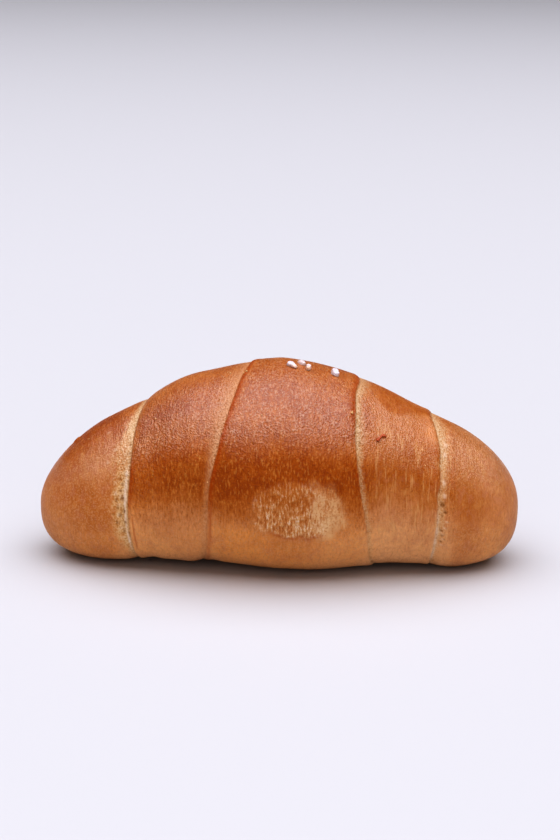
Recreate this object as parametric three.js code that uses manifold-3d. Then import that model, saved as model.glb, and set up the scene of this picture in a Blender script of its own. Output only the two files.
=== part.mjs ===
// Salt bread roll: a triangle of dough wound up from its wide side into a
// crescent-like roll and baked. One closed solid of crust and crumb.
//
// Frame, in millimetres: +X along the roll, +Z up, -Y is the side that shows
// most. The origin is the centre of the underside, at the level it rests on.

import * as THREE from 'three';
import { mergeVertices } from 'three/addons/utils/BufferGeometryUtils.js';
import Module from 'manifold-3d';

// ---------------------------------------------------------------- sizes (mm)

const LENGTH = 132;              // nub tip to nub tip
const CROWN_HEIGHT = 54.02;      // crest of the innermost winding at mid-length
const SHEET_THICKNESS = 0.53;    // step left by each edge of the wound sheet
const SHOULDER_WIDTH = 1.6;      // how fast a sheet edge rises to its full step
const WIDTH_TO_HEIGHT_MIDDLE = 1.17;
const WIDTH_TO_HEIGHT_TIP = 1.06;
const WAIST_LEVEL = 0.94;        // level of greatest width, as a share of the half height
const UPPER_ROUNDNESS = 2.03;    // superellipse exponents of the cross-section
const LOWER_ROUNDNESS = 2.45;    // reached only well below the waist
const BAKED_FLAT = 1.11;         // how much the tray has flattened the underside

// Each half of the roll falls from the crown to its own blunt tip.
const LEFT_HALF = {
  tipHeight: 15.25, crownTaper: 1.70, crownRound: 1.65, bellyTaper: 7.4, bellyRound: 2.85,
};
const RIGHT_HALF = {
  tipHeight: 16.04, crownTaper: 1.37, crownRound: 2.00, bellyTaper: 7.9, bellyRound: 2.80,
};

// Swells and dips along the crest: place, height and half width.
const CREST_SWELLS = [
  { at: -26.4, rise: 0.43, spread: 6.7 },    // shoulder of the left band
  { at: -39.3, rise: -1.21, spread: 9.2 },   // hollow where the left nub begins
  { at: 39.1, rise: -1.50, spread: 10.9 },   // straighter slope of the right side
];

// The underside arches clear of the tray between the middle and each nub.
const BELLY_ARCHES = [
  { at: -19.7, rise: 2.87, spread: 20.0 },
  { at: 29.0, rise: 2.25, spread: 16.8 },
  { at: -23.7, rise: -0.62, spread: 3.8 },   // left band sags a little between its edges
  { at: -34.3, rise: 0.81, spread: 2.6 },
  { at: -18.5, rise: 0.55, spread: 2.6 },
  { at: 39.5, rise: 0.40, spread: 3.0 },
  { at: 47.0, rise: -0.55, spread: 5.5 },    // right nub presses on the tray
];

// Course of the two edges of the dough sheet as it winds inwards from its tip.
// turn is the winding angle: 0 crest, 90 front, 180 underside, 270 back, and on.
const SHEET_EDGES = [
  { turn: -180, left: 3.0, right: 12.0 },    // narrow end, tucked under the roll
  { turn: -90, left: -3.6, right: 17.0 },
  { turn: 0, left: -9.2, right: 21.4 },      // middle band at the crest
  { turn: 30, left: -12.5, right: 19.9 },
  { turn: 60, left: -16.1, right: 20.4 },
  { turn: 90, left: -18.8, right: 22.8 },
  { turn: 135, left: -19.3, right: 24.8 },
  { turn: 180, left: -21.5, right: 27.5 },
  { turn: 270, left: -30.0, right: 36.5 },
  { turn: 360, left: -37.0, right: 42.6 },   // side bands at the crest
  { turn: 390, left: -39.0, right: 43.5 },
  { turn: 420, left: -39.8, right: 43.2 },
  { turn: 450, left: -40.4, right: 42.7 },
  { turn: 495, left: -38.6, right: 41.6 },
  { turn: 540, left: -36.6, right: 41.2 },
  { turn: 630, left: -43.0, right: 47.0 },   // fades out behind the nubs
  { turn: 720, left: -52.0, right: 54.0 },
];
const EDGE_RISES = [-178, -150];             // the tip's step grows over these turns
const EDGE_FADES = [560, 700];               // the innermost step dies over these
const LEFT_PINCH = { depth: 0.5, spread: 2.2, from: 250, to: 340 };

// Slow unevenness of hand-rolled dough: height, waves along and around, phase.
const UNEVENNESS = [
  { rise: 0.16, along: 3, around: 1, phase: 0.6 },
  { rise: 0.12, along: 5, around: 2, phase: 2.1 },
  { rise: 0.08, along: 7, around: 3, phase: 4.0 },
];

const STATIONS = 84;             // facets along the roll
const SPOKES = 50;               // facets around it
const EDGE_CROWDING = 2.6;       // how much closer the stations sit at an edge
const EDGE_CROWDING_WIDTH = 2.4;

const CRUST_COLOUR = 0xb9713a;
const HALF = LENGTH / 2;

// ---------------------------------------------------------------- helpers

const clamp = (v, lo, hi) => Math.min(hi, Math.max(lo, v));
const smooth = (a, b, v) => { const t = clamp((v - a) / (b - a), 0, 1); return t * t * (3 - 2 * t); };
const bump = (v, { at, rise, spread }) => rise * Math.exp(-(((v - at) / spread) ** 2));
const power = (v, e) => Math.sign(v) * Math.abs(v) ** e;

// Monotone cubic through stations, so a course never overshoots between them.
function course(xs, ys) {
  const n = xs.length;
  const h = [], s = [], m = new Array(n).fill(0);
  for (let i = 0; i < n - 1; i++) { h.push(xs[i + 1] - xs[i]); s.push((ys[i + 1] - ys[i]) / h[i]); }
  for (let i = 1; i < n - 1; i++) {
    if (s[i - 1] * s[i] > 0) {
      const w1 = 2 * h[i] + h[i - 1], w2 = h[i] + 2 * h[i - 1];
      m[i] = (w1 + w2) / (w1 / s[i - 1] + w2 / s[i]);
    }
  }
  m[0] = s[0]; m[n - 1] = s[n - 2];
  return (x) => {
    x = clamp(x, xs[0], xs[n - 1]);
    let i = 0;
    while (i < n - 2 && x > xs[i + 1]) i++;
    const t = (x - xs[i]) / h[i], t2 = t * t, t3 = t2 * t;
    return (2 * t3 - 3 * t2 + 1) * ys[i] + (t3 - 2 * t2 + t) * h[i] * m[i]
      + (3 * t2 - 2 * t3) * ys[i + 1] + (t3 - t2) * h[i] * m[i + 1];
  };
}

const turns = SHEET_EDGES.map((e) => e.turn);
const leftEdge = course(turns, SHEET_EDGES.map((e) => e.left));
const rightEdge = course(turns, SHEET_EDGES.map((e) => e.right));

// ---------------------------------------------------------------- shape

// Crest line, belly line and half width of the core at a place along the roll.
function core(x) {
  const u = clamp(Math.abs(x) / HALF, 0, 1);
  const side = x < 0 ? LEFT_HALF : RIGHT_HALF;
  const tip = THREE.MathUtils.lerp(LEFT_HALF.tipHeight, RIGHT_HALF.tipHeight, (x + HALF) / LENGTH);
  const crown = (1 - u ** side.crownTaper) ** (1 / side.crownRound);
  const belly = (1 - u ** side.bellyTaper) ** (1 / side.bellyRound);
  let top = tip + (CROWN_HEIGHT - tip) * crown;
  let bottom = tip * (1 - belly) - BAKED_FLAT * belly;
  for (const swell of CREST_SWELLS) top += bump(x, swell) * smooth(0, 0.3, 1 - u);
  for (const arch of BELLY_ARCHES) bottom += bump(x, arch) * smooth(0, 0.3, 1 - u);
  const halfHeight = (top - bottom) / 2;
  const ratio = THREE.MathUtils.lerp(WIDTH_TO_HEIGHT_MIDDLE, WIDTH_TO_HEIGHT_TIP, u * u);
  return { top, bottom, waist: bottom + halfHeight * WAIST_LEVEL, halfWidth: ratio * halfHeight };
}

// How far the wound sheet stands off the core at a place and an angle.
function sheet(x, angle) {
  const rise = (q) => Math.sqrt(1 - (1 - clamp(q / SHOULDER_WIDTH, 0, 1)) ** 2);
  let off = 0;
  for (let winding = 0; winding < 3; winding++) {
    const turn = angle + 360 * winding;
    const strength = smooth(...EDGE_RISES, turn) * (1 - smooth(...EDGE_FADES, turn));
    if (strength <= 0) continue;
    const left = leftEdge(turn), right = rightEdge(turn);
    off += strength * SHEET_THICKNESS * rise(x - left) * rise(right - x);
    const pinch = smooth(LEFT_PINCH.from, LEFT_PINCH.to, turn);
    off -= strength * pinch * LEFT_PINCH.depth * Math.exp(-(((x - left + 0.2) / LEFT_PINCH.spread) ** 2));
  }
  const u = x / HALF, a = THREE.MathUtils.degToRad(angle);
  for (const w of UNEVENNESS) {
    off += w.rise * Math.sin(w.along * u * Math.PI / 2 + w.phase) * Math.cos(w.around * a + w.phase) * (1 - u ** 4);
  }
  return off;
}

function surfacePoint(x, angle) {
  const { top, bottom, waist, halfWidth } = core(x);
  const a = THREE.MathUtils.degToRad(angle), s = Math.sin(a), c = Math.cos(a);
  const n = THREE.MathUtils.lerp(UPPER_ROUNDNESS, LOWER_ROUNDNESS, smooth(0, 0.8, -c));
  const reach = c > 0 ? top - waist : waist - bottom;
  const across = power(s, 2 / n), up = power(c, 2 / n);
  const normal = new THREE.Vector2(
    -power(across, n - 1) / Math.max(halfWidth, 1e-6),
    power(up, n - 1) / Math.max(reach, 1e-6),
  ).normalize().multiplyScalar(sheet(x, angle));
  return new THREE.Vector3(x, -halfWidth * across + normal.x, waist + reach * up + normal.y);
}

// Places of the stations along one spoke: even in angle from tip to tip, but
// closer together where an edge of the sheet crosses the spoke.
function stationsAlong(angle) {
  const samples = 720, sum = [0];
  const density = (t) => {
    const x = -HALF * Math.cos(t);
    let d = 0.45 + 0.55 * Math.sin(t) ** 0.5;
    for (let winding = 0; winding < 3; winding++) {
      const turn = angle + 360 * winding;
      const strength = smooth(...EDGE_RISES, turn) * (1 - smooth(...EDGE_FADES, turn));
      for (const e of [leftEdge(turn) + 0.5, rightEdge(turn) - 0.5]) {
        d += strength * EDGE_CROWDING * Math.exp(-(((x - e) / EDGE_CROWDING_WIDTH) ** 2));
      }
    }
    return d;
  };
  for (let i = 1; i <= samples; i++) sum.push(sum[i - 1] + density((i - 0.5) / samples * Math.PI));
  const places = [];
  let k = 0;
  for (let i = 0; i <= STATIONS; i++) {
    const want = sum[samples] * i / STATIONS;
    while (k < samples - 1 && sum[k + 1] < want) k++;
    const t = (k + clamp((want - sum[k]) / (sum[k + 1] - sum[k]), 0, 1)) / samples * Math.PI;
    places.push(-HALF * Math.cos(t));
  }
  return places;
}

function rollGeometry() {
  const position = [], index = [];
  for (let j = 0; j < SPOKES; j++) {
    const angle = -180 + 360 * (j + 0.5) / SPOKES;
    const places = stationsAlong(angle);
    for (let i = 1; i < STATIONS; i++) position.push(...surfacePoint(places[i], angle).toArray());
  }
  const ring = STATIONS - 1;
  const at = (i, j) => (j % SPOKES) * ring + i;
  const tipLeft = position.length / 3, tipRight = tipLeft + 1;
  position.push(-HALF, 0, LEFT_HALF.tipHeight, HALF, 0, RIGHT_HALF.tipHeight);
  for (let j = 0; j < SPOKES; j++) {
    for (let i = 0; i < ring - 1; i++) {
      const a = at(i, j), b = at(i + 1, j), c = at(i + 1, j + 1), d = at(i, j + 1);
      index.push(a, d, b, b, d, c);
    }
    index.push(tipLeft, at(0, j + 1), at(0, j));
    index.push(tipRight, at(ring - 1, j), at(ring - 1, j + 1));
  }
  const geometry = new THREE.BufferGeometry();
  geometry.setAttribute('position', new THREE.Float32BufferAttribute(position, 3));
  geometry.setIndex(index);
  return geometry;
}

// ---------------------------------------------------------------- solid

const wasm = await Module();
wasm.setup();

function toSolid(geometry) {
  const g = geometry.clone();
  g.deleteAttribute('normal');
  g.deleteAttribute('uv');
  const merged = mergeVertices(g, 1e-5);
  return new wasm.Manifold(new wasm.Mesh({
    numProp: 3,
    vertProperties: new Float32Array(merged.attributes.position.array),
    triVerts: new Uint32Array(merged.index.array),
  }));
}

function toGeometry(solid) {
  const mesh = solid.getMesh();
  const geometry = new THREE.BufferGeometry();
  geometry.setAttribute('position', new THREE.BufferAttribute(new Float32Array(mesh.vertProperties), 3));
  geometry.setIndex(new THREE.BufferAttribute(new Uint32Array(mesh.triVerts), 1));
  return geometry;
}

// The tray has baked the lowest parts flat: cut everything below its level.
const tray = new THREE.BoxGeometry(2 * LENGTH, 2 * LENGTH, 20);
tray.translate(0, 0, -10);
const geometry = toGeometry(toSolid(rollGeometry()).subtract(toSolid(tray)));

geometry.computeBoundingBox();
const { min, max } = geometry.boundingBox;
geometry.translate(-(min.x + max.x) / 2, -(min.y + max.y) / 2, 0);
geometry.computeVertexNormals();

const roll = new THREE.Mesh(geometry, new THREE.MeshStandardMaterial({
  color: CRUST_COLOUR, roughness: 0.5, metalness: 0,
}));
roll.name = 'bread_roll';

const bread = new THREE.Group();
bread.add(roll);

export default bread;
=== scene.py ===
"""Salt bread roll: the wound and baked crust, its salt grains and its crumbs.

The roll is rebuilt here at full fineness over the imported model: the same core
and the same wound sheet, then its torn strips, creases, pits, wrinkles and dents.
Angles run around the roll in degrees: 0 crest, 90 front, 180 underside, 270 back.
A turn is such an angle counted on along the winding of the dough sheet.
Lengths are in millimetres until the meshes are written in metres.
"""

import math

import bpy
import numpy as np
from mathutils import Matrix, Vector


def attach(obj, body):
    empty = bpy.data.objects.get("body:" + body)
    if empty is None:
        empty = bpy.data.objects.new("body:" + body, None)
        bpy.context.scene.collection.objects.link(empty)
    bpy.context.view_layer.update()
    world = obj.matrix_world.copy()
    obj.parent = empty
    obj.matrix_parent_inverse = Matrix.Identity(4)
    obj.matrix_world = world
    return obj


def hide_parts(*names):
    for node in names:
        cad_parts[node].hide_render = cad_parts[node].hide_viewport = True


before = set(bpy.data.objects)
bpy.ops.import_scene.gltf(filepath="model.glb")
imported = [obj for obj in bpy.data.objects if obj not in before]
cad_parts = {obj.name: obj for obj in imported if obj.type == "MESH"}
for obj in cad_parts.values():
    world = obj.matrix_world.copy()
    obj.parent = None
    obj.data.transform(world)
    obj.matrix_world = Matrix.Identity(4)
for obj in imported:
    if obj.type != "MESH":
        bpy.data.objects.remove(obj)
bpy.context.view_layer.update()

MM = 0.001

# ------------------------------------------------------------------ the form

LENGTH, HALF = 132.0, 66.0
CROWN_HEIGHT = 54.02
SHEET_THICKNESS = 0.53
SHOULDER_WIDTH = 1.45
WIDTH_MIDDLE, WIDTH_TIP = 1.17, 1.06
WAIST_LEVEL = 0.94
UPPER_ROUNDNESS, LOWER_ROUNDNESS = 2.03, 2.45
BAKED_FLAT = 1.11
LEFT = dict(tip=15.25, crown_taper=1.70, crown_round=1.65, belly_taper=7.4, belly_round=2.85)
RIGHT = dict(tip=16.04, crown_taper=1.37, crown_round=2.00, belly_taper=7.9, belly_round=2.80)
CREST_SWELLS = ((-26.4, 0.43, 6.7), (-39.3, -1.21, 9.2), (39.1, -1.50, 10.9))
BELLY_ARCHES = ((-19.7, 2.87, 20.0), (29.0, 2.25, 16.8), (-23.7, -0.62, 3.8), (-34.3, 0.81, 2.6),
                (-18.5, 0.55, 2.6), (39.5, 0.40, 3.0), (47.0, -0.55, 5.5))
SHEET_EDGES = (  # turn, left edge, right edge
    (-180, 3.0, 12.0), (-90, -3.6, 17.0), (0, -9.2, 21.4), (30, -12.5, 19.9), (60, -16.1, 20.4),
    (90, -18.8, 22.8), (135, -19.3, 24.8), (180, -21.5, 27.5), (270, -30.0, 36.5), (360, -37.0, 42.6),
    (390, -39.0, 43.5), (420, -39.8, 43.2), (450, -40.4, 42.7), (495, -38.6, 41.6), (540, -36.6, 41.2),
    (630, -43.0, 47.0), (720, -52.0, 54.0))
EDGE_RISES, EDGE_FADES = (-178, -150), (560, 700)
LEFT_PINCH = dict(depth=0.5, spread=2.2, start=250, full=340)
UNEVENNESS = ((0.16, 3, 1, 0.6), (0.12, 5, 2, 2.1), (0.08, 7, 3, 4.0))

# Pale dough that shows beside each edge, where the crust below was stretched as it rose:
# turn, how far the lip has drawn back, width and strength of the palest line, reach and
# strength of the paler ground beyond it.
LEFT_STRIP = (
    (-180, 0.0, 0.8, 0.5, 1.4, 0.1), (-90, 0.0, 1.5, 0.6, 3.0, 0.2), (-30, 0.0, 2.2, 0.4, 4.5, 0.2),
    (3, 0.0, 2.4, 0.42, 5.0, 0.28), (14, 0.0, 2.5, 0.58, 6.0, 0.30), (28, 0.0, 2.6, 0.76, 6.0, 0.30),
    (36, 0.0, 2.8, 0.80, 6.0, 0.30), (44, 0.0, 2.7, 0.78, 6.0, 0.28), (52, 0.0, 2.2, 0.84, 5.0, 0.24),
    (60, 0.0, 2.0, 1.00, 4.0, 0.24), (68, 0.0, 1.7, 1.00, 3.0, 0.20), (76, 0.0, 1.1, 0.70, 2.0, 0.12),
    (92, 0.0, 0.9, 0.45, 1.5, 0.10), (108, 0.0, 1.1, 0.50, 2.0, 0.10), (124, 0.0, 1.4, 0.35, 2.0, 0.10),
    (180, 0.0, 0.9, 0.40, 2.0, 0.10), (270, 0.0, 1.6, 0.70, 3.2, 0.35), (345, 0.0, 1.3, 0.70, 2.0, 0.35),
    (362, 0.0, 1.2, 0.70, 1.8, 0.35), (368, 0.0, 1.3, 0.90, 2.0, 0.40), (374, 0.0, 1.5, 1.0, 2.4, 0.50),
    (380, 0.0, 1.8, 1.0, 2.8, 0.60), (388, 0.0, 2.0, 1.0, 3.4, 0.65), (396, 0.0, 2.0, 0.90, 4.2, 0.65),
    (404, 0.0, 1.6, 0.80, 5.2, 0.60), (412, 0.0, 1.5, 0.70, 5.6, 0.58), (420, 0.0, 1.5, 0.72, 5.0, 0.58),
    (428, 0.0, 1.5, 0.70, 4.4, 0.80), (436, 0.0, 1.6, 0.70, 4.6, 0.90), (444, 0.0, 1.6, 0.60, 4.6, 0.90),
    (452, 0.0, 1.7, 0.62, 4.6, 0.92), (460, 0.0, 1.6, 0.60, 4.4, 0.92), (468, 0.0, 1.5, 0.55, 4.2, 0.90),
    (476, 0.0, 1.6, 0.62, 3.6, 0.85), (484, 0.0, 1.2, 0.60, 2.8, 0.70), (492, 0.0, 0.9, 0.60, 1.9, 0.50),
    (540, 0.0, 0.9, 0.50, 2.0, 0.20), (640, 0.0, 0.9, 0.30, 2.0, 0.10))
RIGHT_STRIP = (
    (-180, 0.0, 0.8, 0.5, 1.4, 0.1), (-90, 0.0, 1.4, 0.6, 2.8, 0.2), (-30, 0.0, 2.0, 0.6, 3.0, 0.2),
    (3, 0.0, 2.2, 0.62, 3.0, 0.25), (14, 0.0, 1.8, 0.80, 3.0, 0.22), (28, 0.0, 1.1, 0.92, 2.6, 0.22),
    (36, 0.0, 1.2, 0.92, 2.6, 0.22), (44, 0.1, 1.4, 1.0, 3.4, 0.25), (52, 0.3, 1.6, 1.0, 3.0, 0.25),
    (60, 0.3, 1.3, 0.90, 2.4, 0.20), (68, 0.4, 1.1, 0.60, 1.8, 0.15), (76, 0.6, 1.0, 0.62, 1.4, 0.15),
    (84, 0.8, 1.0, 0.60, 1.6, 0.12), (100, 0.4, 1.1, 0.50, 1.8, 0.12), (116, 0.2, 0.9, 0.48, 1.6, 0.10),
    (135, 0.2, 0.8, 0.45, 1.6, 0.10), (180, 0.0, 0.8, 0.40, 1.6, 0.10), (270, 0.0, 1.5, 0.60, 2.8, 0.30),
    (345, 0.5, 1.6, 0.60, 2.6, 0.30), (363, 1.6, 2.2, 0.72, 3.6, 0.30), (374, 1.5, 2.6, 0.92, 4.2, 0.30),
    (388, 1.2, 2.4, 0.95, 4.0, 0.30), (396, 0.8, 2.2, 0.92, 3.6, 0.30), (404, 0.5, 1.9, 0.90, 3.0, 0.28),
    (412, 0.6, 1.9, 0.80, 3.0, 0.25), (420, 0.3, 1.4, 0.50, 2.8, 0.25), (428, 0.2, 1.6, 0.48, 2.8, 0.20),
    (436, 0.8, 1.7, 0.55, 2.8, 0.20), (444, 0.5, 1.6, 0.55, 2.6, 0.25), (452, 0.4, 1.3, 0.62, 2.8, 0.25),
    (460, 0.3, 1.5, 0.68, 2.8, 0.25), (468, 0.2, 1.1, 0.60, 2.8, 0.25), (476, 0.3, 0.8, 0.75, 2.4, 0.20),
    (484, 0.4, 0.7, 0.75, 2.2, 0.20), (540, 0.0, 0.8, 0.50, 2.0, 0.15), (640, 0.0, 0.8, 0.30, 2.0, 0.10))

STATIONS, SPOKES = 408, 240


def smooth(a, b, v):
    t = np.clip((v - a) / (b - a), 0, 1)
    return t * t * (3 - 2 * t)


def power(v, e):
    return np.sign(v) * np.abs(v) ** e


def course(xs, ys):
    """Monotone cubic through stations, so that a course never overshoots."""
    xs, ys = np.asarray(xs, float), np.asarray(ys, float)
    h, s = np.diff(xs), np.diff(ys) / np.diff(xs)
    m = np.zeros(len(xs))
    for i in range(1, len(xs) - 1):
        if s[i - 1] * s[i] > 0:
            w1, w2 = 2 * h[i] + h[i - 1], h[i] + 2 * h[i - 1]
            m[i] = (w1 + w2) / (w1 / s[i - 1] + w2 / s[i])
    m[0], m[-1] = s[0], s[-1]

    def at(x):
        x = np.clip(x, xs[0], xs[-1])
        i = np.clip(np.searchsorted(xs, x, side="right") - 1, 0, len(xs) - 2)
        t = (x - xs[i]) / h[i]
        t2, t3 = t * t, t * t * t
        return ((2 * t3 - 3 * t2 + 1) * ys[i] + (t3 - 2 * t2 + t) * h[i] * m[i]
                + (3 * t2 - 2 * t3) * ys[i + 1] + (t3 - t2) * h[i] * m[i + 1])
    return at


left_edge = course([e[0] for e in SHEET_EDGES], [e[1] for e in SHEET_EDGES])
right_edge = course([e[0] for e in SHEET_EDGES], [e[2] for e in SHEET_EDGES])
left_strip = [course([r[0] for r in LEFT_STRIP], [r[k] for r in LEFT_STRIP]) for k in range(1, 6)]
right_strip = [course([r[0] for r in RIGHT_STRIP], [r[k] for r in RIGHT_STRIP]) for k in range(1, 6)]


class Noise:
    """Seeded gradient noise in three dimensions, about -1 to 1."""

    def __init__(self, seed):
        r = np.random.RandomState(seed)
        self.perm = np.tile(r.permutation(256), 3)
        g = r.normal(size=(256, 3))
        self.grad = g / np.linalg.norm(g, axis=1, keepdims=True)

    def __call__(self, x, y, z):
        x, y, z = np.broadcast_arrays(x, y, z)
        i, j, k = (np.floor(v).astype(int) for v in (x, y, z))
        fx, fy, fz = x - i, y - j, z - k
        fade = lambda t: t * t * t * (t * (t * 6 - 15) + 10)
        u, v, w = fade(fx), fade(fy), fade(fz)
        out = 0
        for dx in (0, 1):
            for dy in (0, 1):
                for dz in (0, 1):
                    h = self.perm[(self.perm[(self.perm[(i + dx) & 255] + j + dy) & 255] + k + dz) & 255]
                    g = self.grad[h]
                    dot = g[..., 0] * (fx - dx) + g[..., 1] * (fy - dy) + g[..., 2] * (fz - dz)
                    out = out + dot * (u if dx else 1 - u) * (v if dy else 1 - v) * (w if dz else 1 - w)
        return out * 1.6


def fractal(noise, x, y, z, octaves=3, gain=0.5):
    out, amp, k = 0, 1.0, 1.0
    for o in range(octaves):
        out = out + amp * noise(x * k + 17 * o, y * k + 31 * o, z * k + 5 * o)
        amp, k = amp * gain, k * 2.03
    return out


N1, N2, N3, N4, N5, N6 = (Noise(s) for s in (11, 23, 37, 41, 59, 67))


def core(x):
    """Crest, belly, waist level and half width of the core at x."""
    u = np.clip(np.abs(x) / HALF, 0, 1)
    pick = lambda key: np.where(x < 0, LEFT[key], RIGHT[key])
    tip = LEFT["tip"] + (RIGHT["tip"] - LEFT["tip"]) * (x + HALF) / LENGTH
    crown = (1 - u ** pick("crown_taper")).clip(0) ** (1 / pick("crown_round"))
    belly = (1 - u ** pick("belly_taper")).clip(0) ** (1 / pick("belly_round"))
    top = tip + (CROWN_HEIGHT - tip) * crown
    bottom = tip * (1 - belly) - BAKED_FLAT * belly
    near = smooth(0, 0.3, 1 - u)
    for at, rise, spread in CREST_SWELLS:
        top = top + rise * np.exp(-((x - at) / spread) ** 2) * near
    for at, rise, spread in BELLY_ARCHES:
        bottom = bottom + rise * np.exp(-((x - at) / spread) ** 2) * near
    half = (top - bottom) / 2
    ratio = WIDTH_MIDDLE + (WIDTH_TIP - WIDTH_MIDDLE) * u * u
    return top, bottom, bottom + half * WAIST_LEVEL, ratio * half


def section(x, angle):
    """Point on the core and the outward direction within its section."""
    top, bottom, waist, wide = core(x)
    a = np.radians(angle)
    s, c = np.sin(a), np.cos(a)
    n = UPPER_ROUNDNESS + (LOWER_ROUNDNESS - UPPER_ROUNDNESS) * smooth(0, 0.8, -c)
    reach = np.where(c > 0, top - waist, waist - bottom)
    across, up = power(s, 2 / n), power(c, 2 / n)
    ny = -power(across, n - 1) / np.maximum(wide, 1e-6)
    nz = power(up, n - 1) / np.maximum(reach, 1e-6)
    m = np.hypot(ny, nz) + 1e-12
    return x + 0 * a, -wide * across, waist + reach * up, ny / m, nz / m


def gauss(v, width):
    return np.exp(-(v / width) ** 2)


# ------------------------------------------------------------------ fine relief and marks

PITS = (  # x, angle, half length along x, half length around, depth: holes torn in the strips
    (-41.8, 72.3, 0.35, 0.50, 0.30), (-42.3, 76.9, 0.40, 0.55, 0.32), (-41.8, 82.7, 0.55, 0.80, 0.50),
    (-43.4, 82.9, 0.45, 0.50, 0.28), (-42.3, 95.2, 0.45, 0.55, 0.35), (-41.2, 92.5, 0.30, 0.60, 0.35),
    (-41.3, 108.7, 0.35, 0.55, 0.32), (-42.5, 69.0, 0.35, 0.40, 0.22), (-40.2, 51.3, 0.28, 0.45, 0.22),
    (-40.2, 44.7, 0.28, 0.45, 0.20), (-43.0, 88.4, 0.35, 0.45, 0.25), (-43.2, 100.5, 0.35, 0.50, 0.25),
    (-41.0, 101.5, 0.28, 0.50, 0.25), (-44.2, 93.5, 0.30, 0.35, 0.18),
    (43.55, 81.8, 0.70, 0.95, 0.50), (44.35, 86.2, 0.55, 0.50, 0.42), (43.5, 89.6, 0.40, 0.40, 0.34),
    (43.5, 101.3, 0.42, 0.34, 0.30), (43.7, 105.8, 0.50, 0.34, 0.30), (43.5, 110.8, 0.42, 0.30, 0.26),
    (44.4, 103.4, 0.26, 0.26, 0.18), (44.4, 108.4, 0.26, 0.26, 0.18))

WISPS = (  # x, angle, half length along x, half length around, strength: skins of dough left standing
    (-40.7, 66.0, 0.30, 1.6, 0.7), (-40.65, 74.7, 0.32, 1.5, 0.9), (-40.7, 83.7, 0.28, 1.4, 0.8),
    (-40.9, 91.0, 0.30, 1.3, 0.8), (-40.9, 98.0, 0.30, 1.3, 0.9), (-43.6, 77.7, 0.45, 0.6, 0.6),
    (-42.9, 94.3, 0.35, 0.7, 0.6), (-42.3, 80.3, 0.50, 0.4, 0.6), (-44.2, 44.7, 0.50, 0.5, 0.5),
    (-46.1, 53.3, 0.40, 0.4, 0.5), (-46.4, 25.7, 0.60, 0.4, 0.4), (-42.6, 86.0, 0.60, 0.35, 0.5),
    (-43.8, 70.5, 0.40, 0.4, 0.4), (-42.0, 104.8, 0.60, 0.5, 0.5), (-41.9, 113.5, 0.45, 0.6, 0.4),
    (44.0, 74.7, 0.50, 0.9, 0.6), (44.5, 34.0, 0.60, 1.0, 0.5), (44.2, 43.3, 0.50, 1.0, 0.6),
    (43.8, 65.3, 0.50, 1.1, 0.6), (44.8, 93.0, 0.50, 0.4, 0.45), (44.3, 98.6, 0.45, 0.4, 0.45),
    (43.9, 103.6, 0.40, 0.30, 0.5), (43.9, 108.4, 0.40, 0.30, 0.5), (43.6, 113.6, 0.45, 0.5, 0.4))


# Browning around the roll, from crest to underside: 0 pale gold, 1 deep brown.
AROUND = (0, 20, 35, 50, 62, 72, 80, 88, 96, 104, 114, 126, 140, 160, 180)
browned_band = course(AROUND, (0.64, 0.76, 0.88, 0.82, 0.83, 0.88, 0.87, 0.68, 0.47, 0.32, 0.21, 0.11, 0.03, 0.12, 0.20))
browned_side = course(AROUND, (0.73, 0.70, 0.71, 0.70, 0.73, 0.75, 0.60, 0.47, 0.36, 0.26, 0.16, 0.04, 0.00, 0.10, 0.18))
browned_nub = course(AROUND, (0.93, 0.93, 0.82, 0.62, 0.55, 0.54, 0.46, 0.42, 0.42, 0.40, 0.33, 0.26, 0.24, 0.24, 0.26))
browned_far_nub = course(AROUND, (0.61, 0.69, 0.70, 0.63, 0.58, 0.58, 0.56, 0.52, 0.47, 0.42, 0.34, 0.28, 0.24, 0.24, 0.26))

# Angle from which the satin sheen shows on the narrower band at the right, along its length.
sheen_from = course((20, 23.5, 27, 29, 32, 36, 39, 43, 50), (1, 8, 22, 27, 25, 15, 11, 4, 0))


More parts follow.
